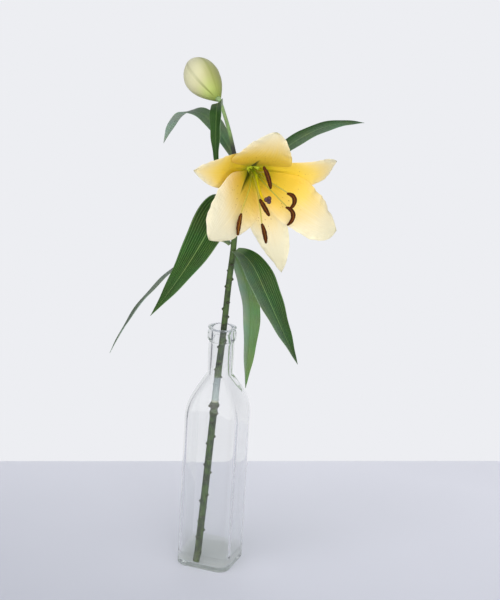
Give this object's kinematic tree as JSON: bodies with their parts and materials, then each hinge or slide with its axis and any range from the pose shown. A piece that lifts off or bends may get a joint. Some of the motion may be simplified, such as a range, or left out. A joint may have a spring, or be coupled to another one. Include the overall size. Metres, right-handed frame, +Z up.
{
  "type": "asiatic lily in vase",
  "caption": "Cut lily stem with an open trumpet-shaped flower, a closed bud and long leaves, standing in a little water at the foot of a tall square glass bottle used as a vase.",
  "frame": {"origin": "middle of the bottle's underside, which stands on the table", "axes": "+Z up; the bottle's four flat sides look along X and Y, and the flower looks mostly along +X and -Y"},
  "size_m": [0.2513, 0.2792, 0.5415],
  "materials": {
    "clear_glass": "clear, smooth, slightly uneven blown glass",
    "still_water": "clear water with a flat surface",
    "stem_skin": "satin green plant skin with small leaf scars",
    "leaf_skin": "satin dark green leaf with parallel veins",
    "tepal_skin": "soft matte petal, cream at the tips and golden at the middle",
    "filament_skin": "smooth moist yellow-green stalk",
    "pollen": "powdery rust-brown pollen",
    "style_skin": "smooth moist lime-yellow",
    "stigma_skin": "moist dark purple",
    "bud_skin": "satin cream-green bud with olive seams"
  },
  "bodies": {
    "root": {"bottle": "clear_glass", "water": "still_water", "stem": "stem_skin", "leaf_1": "leaf_skin", "leaf_2": "leaf_skin", "leaf_3": "leaf_skin", "leaf_4": "leaf_skin", "leaf_5": "leaf_skin", "leaf_6": "leaf_skin", "leaf_7": "leaf_skin", "petal_1": "tepal_skin", "petal_2": "tepal_skin", "petal_3": "tepal_skin", "sepal_1": "tepal_skin", "sepal_2": "tepal_skin", "sepal_3": "tepal_skin", "filament_1": "filament_skin", "filament_2": "filament_skin", "filament_3": "filament_skin", "filament_4": "filament_skin", "filament_5": "filament_skin", "filament_6": "filament_skin", "anther_1": "pollen", "anther_2": "pollen", "anther_3": "pollen", "anther_4": "pollen", "anther_5": "pollen", "anther_6": "pollen", "pistil": "style_skin", "stigma": "stigma_skin", "bud": "bud_skin"}
  },
  "joints": []
}
